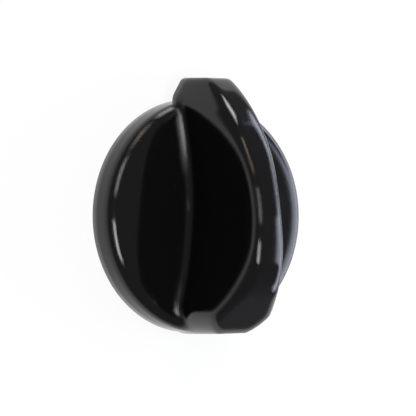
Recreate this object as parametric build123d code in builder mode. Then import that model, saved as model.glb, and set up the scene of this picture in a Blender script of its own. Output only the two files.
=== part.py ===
"""Stove knob: a black moulding, a skirted drum with a tall scooped grip, and a steel spring clip."""

import os
from math import radians, tan

from build123d import *

# Drum: the round skirted disc, open at the back, that turns in front of the hob panel.
drum_radius = 28.0
drum_height = 7.0
drum_edge_round = 1.9
skirt_wall = 2.4
face_wall = 2.4
mould_draft = 2.0

# Grip: the tall handle across the drum, with a nose that points past the rim and a tail flush with it.
grip_width = 17.0
crest_width = 7.2
crest_height = 32.4
crest_peak_y = -4.7
crest_edge_round = 1.9
shoulder_drop = 7.2
shoulder_round = 3.0
nose_overhang = 4.85
nose_underside = 4.8
nose_height = 11.3
nose_tip_round = 4.0
tail_land = 0.3
tail_drop = 15.2
tail_slope = 50.0
tail_round = 14.0
tail_flat = 2.0

# Scoops: the two finger hollows that waist the grip, each cut by a wide cone that stands beside the grip.
scoop_radius = 95.0
scoop_centre_y = 4.2
waist_at_face = 10.0
waist_at_crest = 6.5
scoop_edge_round = 0.4
root_round = 0.9
root_sink = 0.05

# Cores: the pockets that keep the walls of the grip even, drawn from the back.
core_draft = 4.0
tail_core_start = 12.4
tail_core_wall = 3.6
tail_core_width = 8.4
tail_core_top = 18.5
nose_core_start = 10.6
nose_core_wall = 6.4
nose_core_width = 6.4
nose_core_top = 13.5

# Hub: the socket for the valve's stem, a round lead-in and then a D section, with a slot for the clip.
stem_radius = 3.0
stem_flat = 1.5
stem_clearance = 0.1
hub_radius = 5.6
lead_in_depth = 2.5
lead_in_clearance = 0.4
socket_depth = 12.0
rib_count = 4
rib_thickness = 1.6
rib_recess = 1.2

# Spring clip: a folded leaf of spring steel whose bowed leg presses on the flat of the stem.
clip_width = 3.0
clip_thickness = 0.4
clip_leg = 7.4
clip_fold_gap = 1.2
clip_bow = 0.35
clip_side_clearance = 0.1
clip_end_clearance = 0.4

# A cutting solid runs this far past the faces that it opens.
cut_over = 1.0

# A face whose normal leans sideways by less than this share runs across the grip.
flat_limit = 0.01

socket_radius = stem_radius + stem_clearance
socket_flat = stem_flat + stem_clearance
slot_reach = socket_flat + 2 * clip_thickness + clip_fold_gap
slot_width = clip_width + 2 * clip_side_clearance
nose_reach = drum_radius + nose_overhang
tail_reach = drum_radius + tail_land
nose_drop = crest_height - nose_height
crest_run = nose_reach - crest_peak_y
crest_radius = (crest_run**2 + nose_drop**2) / (2 * nose_drop)
crest_centre_z = crest_height - crest_radius
face_underside = drum_height - face_wall
cavity_radius = drum_radius - skirt_wall
draft_slope = tan(radians(mould_draft))
scoop_floor = drum_height - root_sink
tail_wall_height = crest_height - tail_drop
tail_corner_round = (grip_width - tail_flat) / 2
tail_wall_y = tail_reach - draft_slope * tail_wall_height

# One scoop's cutter: a leaning wall and a soft root that runs out just inside the drum's face, turned round.
with BuildPart() as scoop:
    with BuildSketch(Plane.XZ.offset(-scoop_centre_y)) as scoop_section:
        with BuildLine():
            scoop_wall = Line((waist_at_face / 2, scoop_floor), (waist_at_crest / 2, crest_height))
            Polyline(
                scoop_wall @ 1,
                (waist_at_crest / 2, crest_height + cut_over),
                (grip_width, crest_height + cut_over),
                (grip_width, scoop_floor),
                scoop_wall @ 0,
            )
        make_face()
        root_corner = scoop_section.vertices().group_by(Axis.Y)[0].sort_by(Axis.X)[0]
        fillet(root_corner, radius=root_round)
    scoop_axis = Axis((waist_at_face / 2 + scoop_radius, scoop_centre_y, 0), (0, 0, 1))
    revolve(axis=scoop_axis)

# One shoulder's cutter: the slant from the crest to the flank, turned round the axis of the crest's arc.
with BuildPart() as shoulder:
    with BuildSketch(Plane.XZ.offset(-crest_peak_y)):
        Polygon(
            (crest_width / 2, crest_height),
            (grip_width / 2, crest_height - shoulder_drop),
            (grip_width, crest_height - shoulder_drop),
            (grip_width, crest_height + cut_over),
            (crest_width / 2, crest_height + cut_over),
            align=None,
        )
    revolve(axis=Axis((0, crest_peak_y, crest_centre_z), (1, 0, 0)))

# The moulding: the grip is shaped first, then the drum joins it and the back is hollowed.
with BuildPart() as knob_body:
    with BuildSketch(Plane.YZ) as side_view:
        with Locations((crest_peak_y, crest_centre_z)):
            Circle(crest_radius)
        with BuildSketch(mode=Mode.PRIVATE) as ends:
            Polygon(
                (-tail_reach, 0),
                (cavity_radius, 0),
                (cavity_radius, nose_underside),
                (nose_reach, nose_underside),
                (nose_reach - draft_slope * (crest_height - nose_underside), crest_height),
                (-tail_wall_y + tail_drop / tan(radians(tail_slope)), crest_height),
                (-tail_wall_y, tail_wall_height),
                align=None,
            )
        add(ends.sketch, mode=Mode.INTERSECT)
        tail_corner = side_view.vertices().filter_by(lambda v: v.X < crest_peak_y).sort_by(Axis.Y)[-1]
        fillet(tail_corner, radius=tail_round)
    extrude(amount=grip_width / 2, both=True)

    # The tail is round in plan.
    with BuildSketch(Plane.XY) as plan:
        with Locations((0, (nose_reach - tail_reach) / 2)):
            Rectangle(grip_width, nose_reach + tail_reach)
        fillet(plan.vertices().group_by(Axis.Y)[0], radius=tail_corner_round)
    extrude(amount=crest_height, mode=Mode.INTERSECT)

    # The shoulders and their lower edges, then one soft edge right round the crest, the tail and the nose.
    add(shoulder.part, mode=Mode.SUBTRACT)
    add(shoulder.part.mirror(Plane.YZ), mode=Mode.SUBTRACT)
    nose_tip = knob_body.faces().sort_by(Axis.Y)[-1].edges().sort_by(Axis.Z)[-1]
    fillet(nose_tip, radius=nose_tip_round)
    shoulder_edges = knob_body.faces().filter_by(GeomType.CONE).edges()
    fillet(
        shoulder_edges.filter_by(lambda e: abs(e.center().X) > crest_width and e.center().Z > drum_height),
        radius=shoulder_round,
    )
    cross_faces = knob_body.faces().filter_by(lambda f: abs(f.normal_at().X) < flat_limit)
    ridge = cross_faces.filter_by(lambda f: f.normal_at().Z > 2 * draft_slope)
    nose_end = knob_body.faces().sort_by(Axis.Y)[-1]
    tail_end = knob_body.faces().sort_by(Axis.Y)[0]
    across_edges = (ridge.edges() + nose_end.edges()).filter_by(Axis.X, reverse=True)
    fillet(across_edges + [tail_end.edges().sort_by(Axis.Z)[-1]], radius=crest_edge_round)

    # The scoops, one each side, and the soft edge round them.
    add(scoop.part, mode=Mode.SUBTRACT)
    add(scoop.part.mirror(Plane.YZ), mode=Mode.SUBTRACT)
    scoop_walls = knob_body.faces().filter_by(GeomType.CONE).sort_by(SortBy.AREA)[-2:]
    scoop_edges = scoop_walls.edges().filter_by(lambda e: e.bounding_box().max.Z > drum_height + root_round)
    fillet(scoop_edges, radius=scoop_edge_round)

    # The drum, with its drafted skirt and its rounded front edge.
    with BuildSketch(Plane.XZ) as drum_section:
        Polygon(
            (0, 0),
            (drum_radius, 0),
            (drum_radius - draft_slope * drum_height, drum_height),
            (0, drum_height),
            align=None,
        )
        front_edge = drum_section.vertices().group_by(Axis.Y)[-1].sort_by(Axis.X)[-1]
        fillet(front_edge, radius=drum_edge_round)
    revolve(axis=Axis.Z)

    # The hollow back: a round cavity behind the face, and a core in each half of the grip.
    with BuildSketch(Plane.XY):
        Circle(cavity_radius)
    extrude(amount=face_underside, mode=Mode.SUBTRACT)
    cores = (
        (-1, tail_core_start, drum_radius - tail_core_wall, tail_core_width, tail_core_top),
        (1, nose_core_start, drum_radius - nose_core_wall, nose_core_width, nose_core_top),
    )
    for core_side, core_start, core_end, core_width, core_top in cores:
        with BuildSketch(Plane.XY.offset(face_underside)):
            with Locations((0, core_side * (core_start + core_end) / 2)):
                Rectangle(core_width, core_end - core_start)
        extrude(amount=core_top - face_underside, taper=core_draft, mode=Mode.SUBTRACT)

    # The hub stands in the cavity, tied to the skirt by ribs.
    with BuildSketch(Plane.XY):
        Circle(hub_radius)
    extrude(amount=face_underside)
    with BuildSketch(Plane.XY.offset(rib_recess)):
        with PolarLocations(0, rib_count, start_angle=180 / rib_count):
            Rectangle(drum_radius - skirt_wall / 2, rib_thickness, align=(Align.MIN, Align.CENTER))
    extrude(amount=face_underside - rib_recess)

    # The stem's socket: the round lead-in, the D section above it, and the slot beside its flat.
    with BuildSketch(Plane.XY):
        Circle(stem_radius + lead_in_clearance)
    extrude(amount=lead_in_depth, mode=Mode.SUBTRACT)
    with BuildSketch(Plane.XY.offset(lead_in_depth)):
        Circle(socket_radius)
        with Locations((0, socket_flat)):
            Rectangle(2 * socket_radius, socket_radius, align=(Align.CENTER, Align.MIN), mode=Mode.SUBTRACT)
    extrude(amount=socket_depth - lead_in_depth, mode=Mode.SUBTRACT)
    with BuildSketch(Plane.XY):
        Rectangle(slot_width, slot_reach, align=(Align.CENTER, Align.MIN))
    extrude(amount=socket_depth, mode=Mode.SUBTRACT)

# The clip's back leg lies on the far wall of the slot, and its front leg bows past the flat.
with BuildPart() as spring_clip:
    back_leg_y = slot_reach - clip_thickness / 2
    front_leg_y = socket_flat + clip_thickness / 2
    fold_radius = (back_leg_y - front_leg_y) / 2
    fold_z = socket_depth - clip_end_clearance - clip_thickness / 2 - fold_radius
    foot_z = fold_z - clip_leg
    with BuildSketch(Plane.YZ):
        with BuildLine():
            back_leg = Line((back_leg_y, foot_z), (back_leg_y, fold_z))
            fold = TangentArc(back_leg @ 1, (front_leg_y, fold_z), tangent=back_leg % 1)
            Spline(
                fold @ 1,
                (front_leg_y - clip_bow, fold_z - clip_leg / 2),
                (front_leg_y, foot_z),
                tangents=(fold % 1, (clip_bow, -clip_leg / 4)),
            )
        trace(line_width=clip_thickness)
    extrude(amount=clip_width / 2, both=True)

os.makedirs("parts", exist_ok=True)
for node, name in ((knob_body, "knob_body"), (spring_clip, "spring_clip")):
    node.part.label = name
    export_step(node.part, f"parts/{name}.step")
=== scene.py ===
from math import cos, pi, radians, sin

import bpy
from mathutils import Matrix, Vector

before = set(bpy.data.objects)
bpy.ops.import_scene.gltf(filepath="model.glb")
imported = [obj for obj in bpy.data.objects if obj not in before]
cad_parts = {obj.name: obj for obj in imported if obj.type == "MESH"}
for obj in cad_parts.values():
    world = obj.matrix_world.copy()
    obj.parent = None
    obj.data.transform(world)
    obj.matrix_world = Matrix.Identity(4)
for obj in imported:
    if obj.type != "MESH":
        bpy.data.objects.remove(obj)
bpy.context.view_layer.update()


# knob_body: the one-piece moulding, the drum and its scooped grip.
# Black plastic from a polished mould: an even, sharp gloss with soft edges and a very faint ripple.
# It carries polishing haze and a little dust, which show in its roughness.
def linear(hex_colour):
    """An sRGB hex colour as linear RGBA."""
    parts = [int(hex_colour[i : i + 2], 16) / 255 for i in (1, 3, 5)]
    return [c / 12.92 if c <= 0.04045 else ((c + 0.055) / 1.055) ** 2.4 for c in parts] + [1]


def node(tree, kind, settings=None, values=None, links=None):
    """Adds a node to a tree, with its settings, its input values and the sockets that feed its inputs."""
    made = tree.nodes.new(kind)
    for name, value in (settings or {}).items():
        setattr(made, name, value)
    for name, value in (values or {}).items():
        made.inputs[name].default_value = value
    for name, source in (links or {}).items():
        tree.links.new(source, made.inputs[name])
    return made


def material(name):
    """An empty node material, its tree and its output node."""
    made = bpy.data.materials.new(name)
    made.use_nodes = True
    made.node_tree.nodes.clear()
    return made, made.node_tree, made.node_tree.nodes.new("ShaderNodeOutputMaterial")


mm = 0.001
knob_black = linear("#0b0b0c")
ripple_size = 5.0
haze_size = 9.0
dust_size = 0.35
edge_softness = 3.0

# Polished black plastic: a dark base under a sharp gloss, with patches of haze, specks of dust and a mould ripple.
# The Bevel node softens how the edges mirror the room, as the rounded edges of the real knob do.
plastic, tree, output = material("polished_black_plastic")
place = node(tree, "ShaderNodeTexCoord").outputs["Object"]
haze = node(
    tree,
    "ShaderNodeTexNoise",
    {},
    {"Scale": 1 / (haze_size * mm), "Detail": 3, "Roughness": 0.6},
    {"Vector": place},
)
dust = node(tree, "ShaderNodeTexNoise", {}, {"Scale": 1 / (dust_size * mm), "Detail": 1}, {"Vector": place})
specks = node(
    tree,
    "ShaderNodeMapRange",
    {},
    {"From Min": 0.68, "From Max": 0.78, "To Min": 0.0, "To Max": 0.06},
    {"Value": dust.outputs["Fac"]},
)
gloss = node(
    tree,
    "ShaderNodeMapRange",
    {},
    {"From Min": 0.3, "From Max": 0.7, "To Min": 0.05, "To Max": 0.09},
    {"Value": haze.outputs["Fac"]},
)
roughness = node(
    tree, "ShaderNodeMath", {"operation": "ADD"}, {}, {0: gloss.outputs["Result"], 1: specks.outputs["Result"]}
)
ripple = node(tree, "ShaderNodeTexNoise", {}, {"Scale": 1 / (ripple_size * mm), "Detail": 1}, {"Vector": place})
soft_edge = node(tree, "ShaderNodeBevel", {"samples": 12}, {"Radius": edge_softness * mm})
bump = node(
    tree,
    "ShaderNodeBump",
    {},
    {"Strength": 0.05, "Distance": 0.02 * mm},
    {"Height": ripple.outputs["Fac"], "Normal": soft_edge.outputs["Normal"]},
)
shader = node(
    tree,
    "ShaderNodeBsdfPrincipled",
    {},
    {"Base Color": knob_black, "IOR": 1.45},
    {"Roughness": roughness.outputs["Value"], "Normal": bump.outputs["Normal"]},
)
tree.links.new(shader.outputs["BSDF"], output.inputs["Surface"])

knob_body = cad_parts["knob_body"]
knob_body.data.materials.clear()
knob_body.data.materials.append(plastic)


# spring_clip: the folded leaf in the slot of the hub, which presses the stem's flat.
# Spring steel strip, cold rolled, with fine lines along its length.
# It is pushed into the slot from the back and holds by its own spring.
steel_grey = linear("#c3c4c6")
roll_line = 0.12

# Cold-rolled spring steel: bright grey, with rolling lines along the strip in roughness and bump.
# The lines are drawn coarser than real ones, which are too fine to show.
steel, tree, output = material("rolled_spring_steel")
place = node(tree, "ShaderNodeTexCoord").outputs["Object"]
along = node(tree, "ShaderNodeMapping", {}, {"Scale": (1.0, 0.05, 0.05)}, {"Vector": place})
lines = node(
    tree,
    "ShaderNodeTexNoise",
    {},
    {"Scale": 1 / (roll_line * mm), "Detail": 2},
    {"Vector": along.outputs["Vector"]},
)
roughness = node(
    tree,
    "ShaderNodeMapRange",
    {},
    {"From Min": 0.3, "From Max": 0.7, "To Min": 0.22, "To Max": 0.38},
    {"Value": lines.outputs["Fac"]},
)
bump = node(
    tree, "ShaderNodeBump", {}, {"Strength": 0.2, "Distance": 0.004 * mm}, {"Height": lines.outputs["Fac"]}
)
shader = node(
    tree,
    "ShaderNodeBsdfPrincipled",
    {},
    {"Base Color": steel_grey, "Metallic": 1.0},
    {"Roughness": roughness.outputs["Result"], "Normal": bump.outputs["Normal"]},
)
tree.links.new(shader.outputs["BSDF"], output.inputs["Surface"])

spring_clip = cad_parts["spring_clip"]
spring_clip.data.materials.clear()
spring_clip.data.materials.append(steel)


# The table: a plain white sheet under the knob, a little larger than the view.
# The camera and the gloss see it as white, and it keeps a faint shadow, as a tenth of what they see is the lit sheet.
sheet_size = 0.18
sheet_drop = 0.02 * mm
sheet_white = linear("#f4f4f4")
lit_share = 0.1

mesh = bpy.data.meshes.new("table")
half = sheet_size / 2
corners = [(x, y, -sheet_drop) for x, y in ((-half, -half), (half, -half), (half, half), (-half, half))]
mesh.from_pydata(corners, [], [(0, 1, 2, 3)])
table = bpy.data.objects.new("table", mesh)
bpy.context.scene.collection.objects.link(table)

# White sheet: matt and lit by the lamps, mixed with plain white for what the camera and mirrors see.
white_sheet, tree, output = material("white_sheet")
lit = node(tree, "ShaderNodeBsdfDiffuse", {}, {"Color": sheet_white})
glow = node(tree, "ShaderNodeEmission", {}, {"Color": (1, 1, 1, 1), "Strength": 1.0})
path = node(tree, "ShaderNodeLightPath")
seen = node(
    tree,
    "ShaderNodeMath",
    {"operation": "MAXIMUM"},
    {},
    {0: path.outputs["Is Camera Ray"], 1: path.outputs["Is Glossy Ray"]},
)
seen = node(
    tree, "ShaderNodeMath", {"operation": "MAXIMUM"}, {}, {0: seen.outputs[0], 1: path.outputs["Is Transmission Ray"]}
)
share = node(tree, "ShaderNodeMath", {"operation": "MULTIPLY"}, {1: 1 - lit_share}, {0: seen.outputs[0]})
mixed = node(
    tree,
    "ShaderNodeMixShader",
    {},
    {},
    {0: share.outputs[0], 1: lit.outputs["BSDF"], 2: glow.outputs["Emission"]},
)
tree.links.new(mixed.outputs["Shader"], output.inputs["Surface"])
table.data.materials.append(white_sheet)


# The studio: a dim grey room, soft boxes overhead and beyond the nose, and a bluish window across the table.
# Each is an area light that faces the knob, placed by its bearing from the knob.
def soft_box(name, lean, side, distance, width, length, radiance, colour):
    """An area light that faces the knob. lean is its angle from straight up towards the camera's side, side its
    angle towards the nose; width runs towards the nose and length along the lean. radiance sets its brightness."""
    lamp = bpy.data.lights.new(name, "AREA")
    lamp.shape = "RECTANGLE"
    lamp.size = width
    lamp.size_y = length
    lamp.color = linear(colour)[:3]
    lamp.energy = radiance * pi * width * length
    lean, side = radians(lean), radians(side)
    to_box = Vector((-sin(lean) * cos(side), sin(side), cos(lean) * cos(side)))
    long_way = Vector((-cos(lean), 0, -sin(lean)))
    wide_way = long_way.cross(to_box).normalized()
    turn = Matrix((wide_way, to_box.cross(wide_way), to_box)).transposed().to_4x4()
    box = bpy.data.objects.new(name, lamp)
    box.matrix_world = Matrix.Translation(to_box * distance) @ turn
    bpy.context.scene.collection.objects.link(box)


soft_box("box_over_tail", lean=10, side=-9.6, distance=1.2, width=0.33, length=0.27, radiance=20.0, colour="#ffffff")
soft_box("box_over_nose", lean=10, side=16.7, distance=1.2, width=0.34, length=0.27, radiance=9.0, colour="#ffffff")
soft_box("warm_box", lean=10, side=45, distance=1.2, width=0.5, length=0.28, radiance=4.6, colour="#ffe9cf")
soft_box("low_box", lean=-32, side=75, distance=0.9, width=0.25, length=0.3, radiance=11.0, colour="#ffffff")
soft_box("window_high", lean=-55, side=-4.5, distance=0.9, width=0.4, length=0.5, radiance=5.2, colour="#e3ebff")
soft_box("window_low", lean=-79, side=3, distance=0.9, width=2.1, length=0.3, radiance=6.5, colour="#e3ebff")

room_grey = linear("#828285")
world = bpy.data.worlds.new("studio")
bpy.context.scene.world = world
world.use_nodes = True
world.node_tree.nodes["Background"].inputs["Color"].default_value = room_grey
world.node_tree.nodes["Background"].inputs["Strength"].default_value = 1.0


# The camera: at the photograph's bearing, found from the outline of the drum in the photograph.
# Its upper edge looks to the nose, and a small shift puts the knob where the photograph has it.
picture_size = 416
camera_lean = radians(34.8)
camera_roll = radians(-0.42)
camera_distance = 0.6667
aim_height = 10.0 * mm
pixels_per_mm = 4.22
aim_pixel = (214.6, 215.25)

lens = bpy.data.cameras.new("camera")
lens.sensor_width = 36.0
lens.lens = pixels_per_mm / mm * camera_distance / picture_size * lens.sensor_width
lens.shift_x = -(aim_pixel[0] - (picture_size - 1) / 2) / picture_size
lens.shift_y = (aim_pixel[1] - (picture_size - 1) / 2) / picture_size
lens.clip_start = 0.01
camera = bpy.data.objects.new("camera", lens)
back = Vector((-sin(camera_lean), 0, cos(camera_lean)))
up = Vector((0, 1, 0))
turn = Matrix((up.cross(back), up, back)).transposed().to_4x4()
spot = Matrix.Translation(Vector((0, 0, aim_height)) + back * camera_distance)
camera.matrix_world = spot @ turn @ Matrix.Rotation(camera_roll, 4, "Z")
bpy.context.scene.collection.objects.link(camera)
bpy.context.scene.camera = camera
bpy.context.scene.view_settings.view_transform = "Standard"
